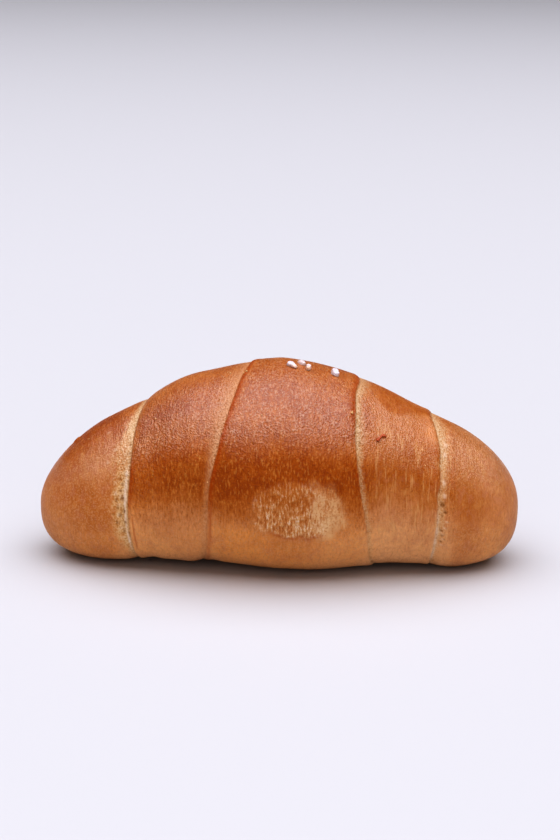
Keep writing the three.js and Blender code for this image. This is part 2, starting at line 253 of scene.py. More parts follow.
def relief(x, angle, y, z):
    """Height over the core and the marks that the crust's finish follows."""
    bump, strip, tan, cream, crease_shade, fold_shade, rope, red_and_lip_shade, lip, matt = 0, 0, 0, 0, 0, 0, 0, 0, 0, 0
    arc = np.radians(angle) * 29.0
    for winding in range(3):
        turn = angle + 360 * winding
        here = smooth(*EDGE_RISES, turn) * (1 - smooth(*EDGE_FADES, turn))
        rise_both, thick_both = 1, 0
        outer_turn = smooth(250, 350, turn)
        for side, edge, pale, tag in ((1, left_edge, left_strip, 3.0), (-1, right_edge, right_strip, 8.0)):
            back, near, near_strength, far, far_strength = (f(turn) for f in pale)
            t = turn / 14.0
            wander = 0.16 * N1(t, tag, 0.5) + 0.07 * N2(t * 3.1, tag, 0.5)
            q = side * (x - edge(turn)) + wander - back               # distance into the sheet
            thick_both = thick_both + 0.5 * SHEET_THICKNESS * (1 + 0.22 * N3(t * 0.9, tag, 0.5))
            k = np.clip(q / SHOULDER_WIDTH, 0, 1)
            rise_both = rise_both * (1 - (1 - k) ** 2.35) ** (1 / 2.35)
            # the crease under the lip, a dent that also gets painted shade: plain beside the first seam from the left,
            # faint elsewhere
            plain = 0.20 + 0.30 * outer_turn * (1 - smooth(428, 440, turn)) if side > 0 else 0.12
            cut = gauss(q + 0.02, 0.30)
            crease_shade = np.maximum(crease_shade, here * cut * plain)
            bump = bump - here * 0.16 * cut * plain * (0.75 + 0.5 * N4(t * 2.3, tag, 1.5))
            bump = bump + here * 0.06 * gauss(q - 1.3, 0.8)
            # redder crust on the lip itself, with painted shade where the lip turns away from the light
            if side > 0:
                redder_and_shaded = (1 - outer_turn) * (0.75 - 0.35 * smooth(84, 100, turn)) + 0.55 * smooth(415, 424, turn) * (1 - smooth(444, 452, turn))
            else:
                redder_and_shaded = 0.65 * (1 - smooth(30, 60, turn))
            red_and_lip_shade = np.maximum(red_and_lip_shade, here * redder_and_shaded * gauss(q - 0.75, 0.62) * smooth(-0.15, 0.3, q))
            # the outer lips are paler in places, and the inner ones have less sheen
            if side > 0:
                lip = lip + here * gauss(q - 0.7, 0.65) * smooth(364, 372, turn) * (1 - smooth(400, 412, turn))
                lip = lip + here * gauss(q - 1.0, 1.2) * smooth(438, 446, turn) * (1 - smooth(462, 472, turn))
            else:
                lip = lip + here * gauss(q - 2.0, 1.5) * smooth(366, 374, turn) * (1 - smooth(392, 402, turn))
            matt = np.maximum(matt, here * (1 - outer_turn) * gauss(q - 0.8, 1.7))
            # pale dough outside the lip
            out = np.maximum(-q, 0)
            ragged = fractal(N6, x * 0.9, arc * 0.45, tag, 3)
            inner = np.exp(-(out * (1 + 0.30 * ragged) / near) ** 2.2) * near_strength
            outer = (1 - smooth(0.45, 1.2, out / far + 0.28 * ragged)) * far_strength
            open_side = smooth(0.30, -0.10, q) * here
            strip = np.maximum(strip, inner * open_side)
            tan = np.maximum(tan, outer * open_side)
            kind = outer_turn if side > 0 else 0.9
            cream = np.maximum(cream, kind * smooth(7.0, 5.0, out) * smooth(1.5, 0.5, q) * here)
            # a drawn-out ridge of dough along the lip
            if side > 0:
                across = 0.62 - 0.25 * smooth(440, 452, turn)
                ridge = gauss(q + 0.35 + across * 0.6, across * 0.75) * smooth(418, 428, turn) * (1 - smooth(480, 492, turn)) * here
                ridge = ridge * np.clip(0.75 + 0.7 * N2(t * 5, tag, 4.5), 0, 1.1)
                rope = np.maximum(rope, ridge)
                bump = bump + 0.14 * ridge
            else:
                skin = gauss(q + 0.15, 0.42) * smooth(446, 456, turn) * (1 - smooth(486, 498, turn)) * here
                skin = 0.65 * skin * np.clip(0.80 + 0.7 * N2(t * 5, tag, 4.5), 0, 1.1)
                rope = np.maximum(rope, skin)
                bump = bump + 0.09 * skin
        bump = bump + here * thick_both * rise_both
        pinch = here * smooth(LEFT_PINCH["start"], LEFT_PINCH["full"], turn)
        q = x - left_edge(turn)
        bump = bump - pinch * LEFT_PINCH["depth"] * gauss(q + 0.2, LEFT_PINCH["spread"])
        # shallow folds that run beside two of the edges, dented and lined with painted shade
        line = gauss(q - 1.25, 0.22) * smooth(453, 460, turn) * (1 - smooth(480, 488, turn))
        line = line + 0.7 * gauss(q - 1.0, 0.20) * smooth(92, 98, turn) * (1 - smooth(116, 124, turn))
        fold_shade = np.maximum(fold_shade, line * here)
        bump = bump - 0.10 * line * here

    u, a = x / HALF, np.radians(angle)
    fade = 1 - u ** 4
    for height, along, around, phase in UNEVENNESS:
        bump = bump + height * np.sin(along * u * np.pi / 2 + phase) * np.cos(around * a + phase) * fade

    # torn, blistered surface of the strips
    cells = fractal(N4, x * 1.15, y * 0.95, z * 0.95, 2)
    open_crumb = np.maximum(strip, tan) * cream * smooth(18, 45, np.abs(angle))
    bump = bump + open_crumb * (0.085 + 0.045 * smooth(-38, -40, x) * smooth(50, 70, angle)) * (cells - 0.5)
    # the holes are dented, and their mark darkens them with painted shade
    pit_shade = 0
    for px, pa, sx, sa, depth in PITS:
        d = np.hypot((x - px) / sx, ((angle - pa + 180) % 360 - 180) * 0.5 / sa)
        hole = np.exp(-(d ** 3))
        pit_shade = np.maximum(pit_shade, hole)
        bump = bump - depth * hole
    for wx, wa, sx, sa, strength in WISPS:
        d = np.hypot((x - wx) / sx, ((angle - wa + 180) % 360 - 180) * 0.5 / sa)
        skin = strength * np.exp(-(d ** 2.5))
        rope = np.maximum(rope, skin)
        bump = bump + 0.16 * skin
    # small pits scattered through the strips, dented and darkened with painted shade
    small = smooth(0.42, 0.75, fractal(N5, x * 1.5, y * 1.0, z * 1.0, 2)) * smooth(0.35, 0.8, strip) * smooth(35, 60, np.abs(angle)) * cream
    bump = bump - 0.16 * small
    pit_shade = np.maximum(pit_shade, 0.8 * small)

    # rubbed patch low on the front of the middle band
    around = (angle - 97.5) * 0.5
    px, pa = (x - 5.3) / 12.7, (around + 0.5 * smooth(0, 10, x)) / (8.2 + 0.9 * smooth(0, 10, x))
    rim = 0.16 * fractal(N3, x * 0.25, arc * 0.25, 2.2, 3)
    rub = 1 - smooth(0.70, 1.08, (np.abs(px) ** 2.4 + np.abs(pa) ** 2.4) ** (1 / 2.4) + rim)
    rub = rub * (1 - smooth(130, 150, np.abs(angle)))
    ragged_skin = fractal(N2, x * 0.9, y * 0.28, z * 0.28, 3)
    bump = bump - rub * (0.05 - 0.06 * ragged_skin)
    rub_left = smooth(12.5, 5.5, x + 3.0 * N4(x * 0.30, arc * 0.22, 7.7))
    rub_low = smooth(90, 108, angle)
    # its lower edge is a wrinkle, dented and lined with a reddish painted shade
    sag = 112.2 - 3.0 * ((x - 4.5) / 8.0) ** 2 + 1.0 * N1(x * 0.5, 3.3, 0.5)
    wrinkle = gauss((angle - sag) * 0.5, 0.42) * smooth(-3.5, -1, x) * smooth(13, 9.5, x)
    fold_shade = np.maximum(fold_shade, wrinkle)
    bump = bump - 0.12 * wrinkle
    spot = gauss(np.hypot(x - 20.3, (angle - 74.3) * 0.5), 0.48)
    red_and_lip_shade = np.maximum(red_and_lip_shade, spot)
    bump = bump + 0.10 * spot

    # wrinkles drawn around the roll, slow dents, baked grain and a few blisters
    streaks = fractal(N1, x * 0.80, y * 0.13, z * 0.13, 2)
    bump = bump + 0.035 * streaks * (0.55 + 0.45 * smooth(30, 90, np.abs(angle))) * fade
    dents = fractal(N6, x * 0.075 + 3.3, y * 0.085, z * 0.085, 2)
    bump = bump + 0.16 * dents * fade
    grain = N3(x * 0.85, y * 0.75, z * 0.75)
    bump = bump + 0.018 * grain
    blister = 0
    for bx, ba, size, height in ((-19.5, 63.2, 0.9, 0.12), (-0.7, 73.3, 0.7, 0.09), (-56.1, -1.0, 1.0, 0.55),
                                 (30.5, 210.0, 1.0, 0.12), (-24.0, 285.0, 1.2, 0.14), (12.0, 300.0, 0.8, 0.10)):
        d = np.hypot(x - bx, ((angle - ba + 180) % 360 - 180) * 0.5)
        blister = blister + height * np.exp(-(d / size) ** 4)
    bump = bump + blister
    turned = np.abs((angle + 180) % 360 - 180)
    closing = smooth(57, 65.5, np.abs(x))                             # all spokes meet at the two tips
    turned = turned * (1 - closing) + 78 * closing
    behind = smooth(0, -50, angle) * smooth(-178, -140, angle)        # the bands lean over on the far side
    left_end, right_end = smooth(-41.5 + 8 * behind, -45.5 - 4 * behind, x), smooth(44.5 - 6 * behind, 49.0, x)
    right = smooth(20 - 6 * behind, 28 - 4 * behind, x) * (1 - right_end)
    bake = browned_band(turned) * (1 - left_end - right - right_end) + browned_nub(turned) * left_end
    bake = bake + browned_side(turned) * right + browned_far_nub(turned) * right_end
    bake = bake + 0.10 * fractal(N2, x * 0.06 + 9.0, y * 0.08, z * 0.08, 3)
    bake = bake - 0.20 * smooth(50, 58, x) - 0.28 * smooth(-53, -60, x) * (1 - smooth(40, 100, turned)) - 0.22 * lip
    bake = bake + smooth(-52, -60, x) * (0.22 * gauss(turned - 52, 18) - 0.06 * smooth(80, 100, turned))
    bake = bake - smooth(-16, -22, x) * (1 - left_end) * (0.10 * (1 - smooth(18, 30, turned)) + 0.06 * gauss(turned - 42, 12))
    # paler in the middle where the sheen fades out near 62 degrees: a painted sheen
    bake = bake - (0.07 * smooth(-13, -5, x) + 0.08 * smooth(5, 11, x)) * (1 - right - right_end) * gauss(turned - 62, 8)
    bake = bake - 0.08 * smooth(8, 14, x) * (1 - right - right_end) * smooth(100, 112, turned)
    bake = bake + 0.16 * gauss(x + 11.5, 6.5) * smooth(80, 90, turned) * (1 - smooth(100, 108, turned))
    bake = bake - 0.15 * smooth(-29, -35, x) * (1 - left_end) * gauss(turned - 84, 24) - 0.05 * gauss(x + 27, 5) * gauss(turned - 70, 10)
    low_edge = 7 * gauss(x + 11.5, 7)
    # where the crust faces away from the sheen: fewer pale flecks there, a painted shade
    unlit_shade = smooth(52, 66, turned) * (1 - smooth(88 + low_edge, 100 + low_edge, turned)) * (1 - left_end - 0.2 * right - 0.3 * right_end)
    unlit_shade = unlit_shade * (1 - 0.5 * smooth(-29, -35, x))
    middle = 1 - left_end - right - right_end
    yellow = middle * (0.10 + 0.40 * smooth(88, 104, turned) * smooth(-14, -20, x)
                       + 0.30 * smooth(2, 14, x) * smooth(100, 115, turned)
                       + 0.30 * gauss(turned - 46, 10) * smooth(-14, -20, x))
    yellow = yellow + middle * (0.30 * gauss(x + 24, 6) * smooth(62, 74, turned) * (1 - smooth(92, 100, turned)))
    yellow = yellow + right * (0.35 + 0.50 * smooth(60, 110, turned))
    yellow = yellow + left_end * (0.15 + 0.75 * gauss(turned - 52, 20) * smooth(-57, -50, x)
                                  + 0.20 * smooth(-50, -58, x) * smooth(70, 95, turned))
    yellow = np.clip(yellow + right_end * (1.0 - 0.60 * smooth(50, 84, turned)) + 0.5 * smooth(126, 150, turned), 0, 1)
    smoothness = np.maximum(np.maximum(left_end, right_end), 0.75 * smooth(96, 118, turned))
    smoothness = np.maximum(smoothness * (0.3 + 0.7 * smooth(10, 30, turned)), 0.60 * right)
    gloss = (1 - 0.18 * right - 0.20 * (left_end + right_end) - 0.06 * smooth(-14, -20, x) * (1 - left_end))
    gloss = gloss * (1 - smooth(51, 71 + 8 * (left_end + right_end), turned + 2.5 * N2(x * 0.30, arc * 0.12, 6.6) - 4 * gauss(x + 8, 6)))
    gloss = gloss * (1 - 0.45 * right * smooth(32, 40, x)) * (1 - 0.30 * left_end * (1 - smooth(26, 38, turned)))
    gloss = gloss * (1 - 0.20 * gauss(x - 15, 6) * (1 - smooth(26, 38, turned))) * (1 - 0.12 * gauss(x + 1, 7) * gauss(turned - 42, 9))
    gloss = gloss * (1 - 0.35 * smooth(15, 40, turned) * (left_end + right_end))
    gloss = gloss * (0.50 + 0.50 * smooth(6, 26, turned)) * (1 - 0.65 * matt * (1 - smooth(36, 56, turned))) * (1 - 0.5 * red_and_lip_shade)
    starts = sheen_from(x) * np.where(angle < 0, 0.45, 1.0) + 2.0 * N2(x * 0.45, 4.4, 0.5)
    blur = np.where(angle < 0, 9.0, 2.5)
    gloss = gloss * (1 - 0.85 * right * (1 - smooth(starts - blur, starts + blur, turned)))
    # paler from where the sheen begins on the right band down to about 40 degrees: a painted sheen
    bake = bake - 0.10 * right * smooth(starts - blur, starts + blur, turned) * (1 - smooth(30, 45, turned))
    # the same painted shade above the sheen on the right band, on the top of the left end and of the left band
    unlit_shade = np.maximum(unlit_shade, right * (1 - smooth(starts - blur, starts + blur, turned)))
    unlit_shade = np.maximum(unlit_shade, 0.85 * left_end * (1 - smooth(26, 40, turned)))
    unlit_shade = np.maximum(unlit_shade, 0.5 * smooth(-14, -20, x) * (1 - left_end) * (1 - smooth(8, 24, turned)))
    rosy = left_end * gauss(turned - 50, 16) + 0.7 * right_end * gauss(turned - 40, 10)
    drawn = right * smooth(30, 45, turned) * (1 - smooth(100, 118, turned))
    drawn = drawn + 0.7 * (left_end + right_end) * gauss(turned - 40, 16) * (1 - smooth(52, 58, np.abs(x)))
    return bump, dict(strip=strip, tan=tan, cream=cream, crease_shade=crease_shade, fold_shade=fold_shade, rope=rope, pit_shade=pit_shade, red_and_lip_shade=red_and_lip_shade,
                      rub=rub, rub_left=rub_left, rub_low=rub_low, bake=bake, yellow=yellow, even=smoothness,
                      gloss=gloss, drawn=drawn, unlit_shade=unlit_shade, rosy=rosy)


def places_along(angle):
    """Stations along one spoke, closer where an edge of the sheet crosses it."""
    samples = 2400
    t = (np.arange(samples) + 0.5) / samples * np.pi
    x = -HALF * np.cos(t)
    d = 0.55 + 0.6 * np.sin(t)
    for winding in range(3):
        turn = angle + 360 * winding
        here = float(smooth(*EDGE_RISES, turn) * (1 - smooth(*EDGE_FADES, turn)))
        for e in (left_edge(turn) - 0.2, right_edge(turn) + 0.2):
            d = d + here * (3.0 * gauss(x - e, 1.1) + 0.9 * gauss(x - e, 3.0))
    total = np.concatenate([[0], np.cumsum(d)])
    want = total[-1] * np.arange(1, STATIONS) / STATIONS
    tt = np.interp(want, total, np.arange(samples + 1) / samples * np.pi)
    return -HALF * np.cos(tt)


def spokes_around():
    """Angles of the spokes: even, but wider apart on the flat underside."""
    a = (np.arange(3600) + 0.5) / 10 - 180
    d = 1 - 0.45 * smooth(120, 165, np.abs(a))
    total = np.concatenate([[0], np.cumsum(d)])
    return np.interp(total[-1] * (np.arange(SPOKES) + 0.5) / SPOKES, total, np.arange(3601) / 10 - 180)


def roll_arrays():
    angles = spokes_around()
    X = np.stack([places_along(a) for a in angles])                   # spokes x stations
    A = np.repeat(angles[:, None], X.shape[1], 1)
    px, py, pz, ny, nz = section(X, A)
    h, marks = relief(X, A, py, pz)
    P = np.stack([px, py + h * ny, pz + h * nz], -1)
    return angles, X, A, P, marks


def crust_mesh():
    angles, X, A, P, marks = roll_arrays()
    low = P[..., 2].copy()
    P[..., 2] = np.maximum(P[..., 2], 0)                              # baked flat on the tray
    rows, cols = X.shape
    tip_left = np.array([[-HALF, 0, LEFT["tip"]]])
    tip_right = np.array([[HALF, 0, RIGHT["tip"]]])
    co = np.concatenate([P.reshape(-1, 3), tip_left, tip_right])
    co[:, 1] += SHIFT_Y
    i, j = np.meshgrid(np.arange(cols - 1), np.arange(rows))
    jn = (j + 1) % rows
    quads = np.stack([j * cols + i, jn * cols + i, jn * cols + i + 1, j * cols + i + 1], -1).reshape(-1, 4)
    j = np.arange(rows)
    jn = (j + 1) % rows
    n = rows * cols
    tris = np.concatenate([np.stack([np.full(rows, n), jn * cols, j * cols], -1),
                           np.stack([np.full(rows, n + 1), j * cols + cols - 1, jn * cols + cols - 1], -1)])
    me = bpy.data.meshes.new("crust")
    me.from_pydata(co * MM, [], quads.tolist() + tris.tolist())
    me.polygons.foreach_set("use_smooth", [True] * len(me.polygons))

    for name, values in marks.items():
        v = np.concatenate([np.broadcast_to(values, X.shape).reshape(-1), [0, 0]]).astype(np.float32)
        me.attributes.new(name, "FLOAT", "POINT").data.foreach_set("value", v)
    around = np.concatenate([A.reshape(-1), [0, 0]])
    me.attributes.new("around", "FLOAT", "POINT").data.foreach_set("value", around.astype(np.float32))

    # the unwrapping runs along the roll and once around it from the underside
    u_of = np.concatenate([(X.reshape(-1) + HALF) / LENGTH, [0, 1]])
    v_of = np.concatenate([np.repeat((np.arange(rows) + 0.5) / (rows + 1), cols), [0.5, 0.5]])
    loops = np.zeros(len(me.loops), int)
    me.loops.foreach_get("vertex_index", loops)
    u, v = u_of[loops], v_of[loops].copy()
    first = np.zeros(len(me.polygons), int)
    count = np.zeros(len(me.polygons), int)
    me.polygons.foreach_get("loop_start", first)
    me.polygons.foreach_get("loop_total", count)
    face = np.repeat(np.arange(len(first)), count)
    wraps = np.zeros(len(first), bool)
    wraps[(rows - 1) * (cols - 1):rows * (cols - 1)] = True           # faces that close the ring
    wraps[len(quads) + rows - 1] = wraps[len(quads) + 2 * rows - 1] = True
    v = np.where(wraps[face] & (v < 0.25), v + rows / (rows + 1), v)
    tip = loops >= n
    near = np.where(face < len(quads) + rows, face - len(quads), face - len(quads) - rows)
    v = np.where(tip, (near + 1.0) / (rows + 1), v)
    layer = me.uv_layers.new(name="OFBake")
    layer.data.foreach_set("uv", np.stack([u, v], -1).reshape(-1).astype(np.float32))
    me.update()
    return me, (angles, X, A, P, marks, low)


SHIFT_Y = -0.14

# ------------------------------------------------------------------ node helpers


class Tree:
    def __init__(self, name):
        self.material = bpy.data.materials.new(name)
        self.material.use_nodes = True
        self.nodes = self.material.node_tree.nodes
        self.links = self.material.node_tree.links
        self.shader = self.nodes["Principled BSDF"]

    def add(self, kind, **values):
        node = self.nodes.new(kind)
        for key, value in values.items():
            setattr(node, key, value)
        return node

    def put(self, value, socket):
        if isinstance(value, bpy.types.NodeSocket):
            self.links.new(value, socket)
        else:
            socket.default_value = value

    def mark(self, name):
        return self.add("ShaderNodeAttribute", attribute_name=name).outputs["Fac"]

    def math(self, op, a, b=0.0, c=0.0, clamp=False):
        node = self.add("ShaderNodeMath", operation=op, use_clamp=clamp)
        for value, socket in zip((a, b, c), node.inputs):
            self.put(value, socket)
        return node.outputs[0]

    def remap(self, value, a, b, c=0.0, d=1.0, smooth=True):
        node = self.add("ShaderNodeMapRange", interpolation_type="SMOOTHSTEP" if smooth else "LINEAR")
        for v, key in ((value, "Value"), (a, "From Min"), (b, "From Max"), (c, "To Min"), (d, "To Max")):
            self.put(v, node.inputs[key])
        return node.outputs[0]

    def scaled(self, x, y, z):
        where = self.add("ShaderNodeTexCoord").outputs["Object"]
        node = self.add("ShaderNodeVectorMath", operation="MULTIPLY")
        self.put(where, node.inputs[0])
        node.inputs[1].default_value = (x / MM, y / MM, z / MM)
        return node.outputs[0]

    def noise(self, vector, scale=1.0, detail=2.0, rough=0.5, distortion=0.0):
        node = self.add("ShaderNodeTexNoise")
        self.put(vector, node.inputs["Vector"])
        for value, key in ((scale, "Scale"), (detail, "Detail"), (rough, "Roughness"), (distortion, "Distortion")):
            node.inputs[key].default_value = value
        return node.outputs["Fac"]

    def cells(self, vector, scale=1.0, feature="F1", randomness=1.0):
        node = self.add("ShaderNodeTexVoronoi", feature=feature)
        self.put(vector, node.inputs["Vector"])
        node.inputs["Scale"].default_value = scale
        node.inputs["Randomness"].default_value = randomness
        return node.outputs["Distance"]

    def mix(self, amount, a, b, blend="MIX"):
        node = self.add("ShaderNodeMix", data_type="RGBA", blend_type=blend)
        self.put(amount, node.inputs["Factor"])
        for value, socket in ((a, node.inputs[6]), (b, node.inputs[7])):
            self.put(value if isinstance(value, bpy.types.NodeSocket) else (*value, 1.0), socket)
        return node.outputs[2]

    def ramp(self, value, stops):
        node = self.add("ShaderNodeValToRGB")
        self.put(value, node.inputs["Fac"])
        el = node.color_ramp.elements
        while len(el) > 1:
            el.remove(el[0])
        el[0].position, el[0].color = stops[0][0], (*stops[0][1], 1.0)
        for position, colour in stops[1:]:
            e = el.new(position)
            e.color = (*colour, 1.0)
        return node.outputs["Color"]


# ------------------------------------------------------------------ finish of the crust

def crust_material():
    t = Tree("baked_crust")
    mark, mul, add = t.mark, lambda a, b: t.math("MULTIPLY", a, b), lambda a, b: t.math("ADD", a, b)
    off = lambda v, k: mul(t.math("SUBTRACT", v, 0.5), k)
    rub, left, low, cream = mark("rub"), mark("rub_left"), mark("rub_low"), mark("cream")

    fine = t.noise(t.scaled(2.20, 1.95, 1.95), detail=1.0, rough=0.5)        # sandy grain
    hair = t.noise(t.scaled(2.30, 0.60, 0.60), detail=1.5, rough=0.55)       # short dashes around the roll
    speck = t.noise(t.scaled(2.20, 0.80, 0.80), detail=1.0, rough=0.5)
    streak = t.noise(t.scaled(0.75, 0.15, 0.15), detail=2.5, rough=0.6)
    long_streak = t.noise(t.scaled(1.30, 0.13, 0.13), detail=2.0, rough=0.6)
    cloud = t.noise(t.scaled(0.30, 0.26, 0.26), detail=2.5, rough=0.6)
    live = t.remap(mark("even"), 0.0, 1.0, 1.0, 0.42, smooth=False)          # the ends are smoother
    calm = t.remap(mark("even"), 0.0, 1.0, 1.0, 0.45, smooth=False)

    bake = add(mark("bake"), add(mul(off(streak, 0.45), calm), off(cloud, 0.32)))
    bake = add(bake, mul(add(off(hair, 0.60), off(fine, 0.50)), live))
    crust = t.ramp(bake, [(0.0, (0.77, 0.325, 0.080)), (0.2, (0.65, 0.260, 0.070)), (0.4, (0.54, 0.190, 0.042)),
                          (0.6, (0.44, 0.125, 0.014)), (0.8, (0.360, 0.078, 0.0005)), (1.0, (0.285, 0.050, 0.0))])
    golden = t.ramp(bake, [(0.0, (0.83, 0.455, 0.215)), (0.2, (0.70, 0.355, 0.162)), (0.4, (0.575, 0.258, 0.110)),
                           (0.6, (0.465, 0.180, 0.050)), (0.8, (0.385, 0.125, 0.018)), (1.0, (0.30, 0.075, 0.004))])
    colour = t.mix(mark("yellow"), crust, golden)
    colour = t.mix(mul(mark("rosy"), 0.13), colour, (0.40, 0.260, 0.260))
    # a faint leathery network on the ends
    web = t.cells(t.scaled(0.40, 0.36, 0.36), feature="DISTANCE_TO_EDGE")
    colour = t.mix(mul(mul(t.remap(web, 0.0, 0.16, 1.0, 0.0), mark("even")), 0.14), colour, (0.40, 0.120, 0.022))
    # the ends and the low sides are mottled, pinker in some places and more golden in others
    blotch = t.noise(t.scaled(0.42, 0.36, 0.36), detail=3.5, rough=0.68)
    colour = t.mix(mul(mul(t.remap(blotch, 0.50, 0.66), mark("even")), 0.34), colour, (0.50, 0.205, 0.115))
    colour = t.mix(mul(mul(t.remap(blotch, 0.47, 0.33), mark("even")), 0.26), colour, (0.64, 0.310, 0.095))
    dim = mul(mul(t.remap(speck, 0.47, 0.34), mark("even")), 0.24)
    colour = t.mix(dim, colour, (0.42, 0.125, 0.030))
    # pale flecks of the grain, held back where the crust faces away from the sheen: grain with painted shade
    pale = mul(mul(t.remap(fine, 0.46, 0.66), t.remap(mark("even"), 0.0, 1.0, 0.22, 0.29, smooth=False)), t.remap(mark("unlit_shade"), 0.0, 1.0, 1.0, 0.10, smooth=False))
    colour = t.mix(pale, colour, (0.74, 0.460, 0.250))
    # bright flecks: grain and painted glints, tinted pinkish where the coat's sheen falls as a painted sheen
    flecks_and_glints = mul(mul(t.remap(speck, 0.54, 0.70), t.remap(mark("bake"), 0.45, 0.8, 0.10, 0.31)), live)
    colour = t.mix(flecks_and_glints, colour, t.mix(mark("gloss"), (0.67, 0.330, 0.080), (0.68, 0.420, 0.270)))
    dark = mul(mul(t.remap(speck, 0.45, 0.28), 0.40), t.remap(mark("even"), 0.0, 0.7, 1.0, 0.12, smooth=False))
    colour = t.mix(dark, colour, (0.23, 0.042, 0.0))
    colour = t.mix(mul(mul(t.remap(long_streak, 0.52, 0.68), mark("drawn")), 0.45), colour, (0.70, 0.400, 0.170))
    # redder crust on the lips and one red spot, with painted shade on the lips that turn from the light
    colour = t.mix(mul(mark("red_and_lip_shade"), 0.85), colour, (0.37, 0.058, 0.0))

    # pale dough beside the seams: tan and open further out, peach or cream along the lip
    cell = t.cells(t.scaled(1.30, 1.05, 1.05), feature="DISTANCE_TO_EDGE")
    walls = t.remap(cell, 0.02, 0.30, 1.0, 0.0)
    crumb = add(add(0.46, off(fine, 2.1)), add(mul(walls, 0.25), off(speck, 0.8)))
    tan_open = t.ramp(crumb, [(0.15, (0.48, 0.220, 0.062)), (0.50, (0.64, 0.360, 0.135)), (0.85, (0.78, 0.530, 0.280))])
    tan_soft = t.ramp(crumb, [(0.15, (0.50, 0.210, 0.060)), (0.85, (0.62, 0.290, 0.110))])
    colour = t.mix(mul(mark("tan"), 0.9), colour, t.mix(cream, tan_soft, tan_open))
    lip_cream = t.ramp(crumb, [(0.10, (0.44, 0.225, 0.085)), (0.50, (0.55, 0.350, 0.175)), (0.85, (0.66, 0.480, 0.290))])
    lip_peach = t.ramp(crumb, [(0.15, (0.46, 0.210, 0.090)), (0.85, (0.62, 0.350, 0.190))])
    colour = t.mix(mul(mark("strip"), 0.95), colour, t.mix(cream, lip_peach, lip_cream))

    # rubbed patch: white flakes drawn around the roll on its left, smoother and tan on its right
    scratch = t.noise(t.scaled(1.95, 0.52, 0.52), detail=3.0, rough=0.66)
    grit = t.noise(t.scaled(2.0, 1.7, 1.7), detail=2.0, rough=0.6)
    spread = t.noise(t.scaled(0.26, 0.22, 0.22), detail=1.0, rough=0.5)
    colour = t.mix(mul(rub, 0.70), colour, t.mix(low, (0.54, 0.205, 0.050), (0.66, 0.300, 0.105)))
    torn = add(scratch, off(spread, 0.30))
    flakes = mul(t.remap(torn, 0.49, 0.60), t.math("ADD", 0.42, mul(low, 0.48)))
    smooth_part = t.remap(add(mul(torn, 0.6), mul(grit, 0.4)), 0.38, 0.57, 0.25, 0.90)
    smooth_part = mul(smooth_part, t.remap(low, 0.0, 1.0, 0.78, 1.20, smooth=False))
    shown = add(mul(left, flakes), mul(t.math("SUBTRACT", 1.0, left), smooth_part))
    flake = t.mix(t.remap(grit, 0.45, 0.62), (0.76, 0.470, 0.220), (0.90, 0.700, 0.520))
    colour = t.mix(mul(rub, shown), colour, t.mix(left, (0.78, 0.510, 0.275), flake))
    cracks = mul(rub, add(mul(left, t.remap(torn, 0.47, 0.38)), mul(t.remap(grit, 0.42, 0.32), 0.45)))
    colour = t.mix(mul(cracks, 0.60), colour, (0.36, 0.085, 0.006))

    colour = t.mix(mul(mark("rope"), 0.85), colour, (0.84, 0.660, 0.500))
    # painted shade in the pits and holes
    colour = t.mix(mul(mark("pit_shade"), 0.80), colour, (0.26, 0.098, 0.020))
    # painted shade in the crease under each lip
    colour = t.mix(mul(mark("crease_shade"), 0.30), colour, (0.34, 0.100, 0.015))
    # painted shade along the folds and the wrinkle
    colour = t.mix(mul(mark("fold_shade"), 0.65), colour, (0.44, 0.100, 0.018))
    t.put(colour, t.shader.inputs["Base Color"])

    dull = t.math("MAXIMUM", mark("strip"), mul(rub, 0.6))
    t.put(add(t.remap(fine, 0.3, 0.7, 0.40, 0.52), mul(dull, 0.15)), t.shader.inputs["Roughness"])
    t.shader.inputs["IOR"].default_value = 1.5
    t.shader.inputs["Specular IOR Level"].default_value = 0.28
    t.shader.inputs["Specular Tint"].default_value = (1.0, 0.76, 0.48, 1.0)
    sheen = mul(mark("gloss"), t.remap(fine, 0.34, 0.66, 0.72, 1.05, smooth=False))
    t.put(mul(sheen, t.remap(dull, 0.0, 1.0, 1.0, 0.40, smooth=False)), t.shader.inputs["Coat Weight"])
    t.shader.inputs["Coat Roughness"].default_value = 0.27
    t.shader.inputs["Coat IOR"].default_value = 1.6

    height = mul(add(add(mul(fine, 0.28), mul(hair, 0.17)), mul(speck, 0.10)), live)
    height = add(height, mul(streak, 0.10))
    height = add(height, mul(mul(mark("strip"), walls), 0.07))
    height = add(height, mul(mul(rub, scratch), mul(left, 0.45)))
    height = add(height, mul(mul(rub, grit), 0.22))
    bump = t.add("ShaderNodeBump")
    bump.inputs["Strength"].default_value = 1.0
    bump.inputs["Distance"].default_value = MM
    t.put(height, bump.inputs["Height"])
    t.put(bump.outputs["Normal"], t.shader.inputs["Normal"])
    t.put(bump.outputs["Normal"], t.shader.inputs["Coat Normal"])
    return t.material


def object_from(name, mesh, material):
    ob = bpy.data.objects.new(name, mesh)
    bpy.context.scene.collection.objects.link(ob)
    mesh.materials.append(material)
    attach(ob, "root")
    return ob


crust_data, shape = crust_mesh()
crust = object_from("roll_crust", crust_data, crust_material())
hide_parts("bread_roll")


def on_surface(x, angle):
    """Point and outward normal of the crust at a place along and around."""
    def point(px, pa):
        px, pa = np.array([px], float), np.array([pa], float)
        ax, ay, az, ny, nz = section(px, pa)
        h, _ = relief(px, pa, ay, az)
        return np.array([ax[0], (ay + h * ny)[0] + SHIFT_Y, (az + h * nz)[0]])
    p = point(x, angle)
    du = point(x + 0.8, angle) - point(x - 0.8, angle)
    da = point(x, angle + 1.6) - point(x, angle - 1.6)
    n = np.cross(du, da)
    n /= np.linalg.norm(n)
    if np.dot(n, p - np.array([x, 0, 25.0])) < 0:
        n = -n
    return p, n


# ------------------------------------------------------------------ salt

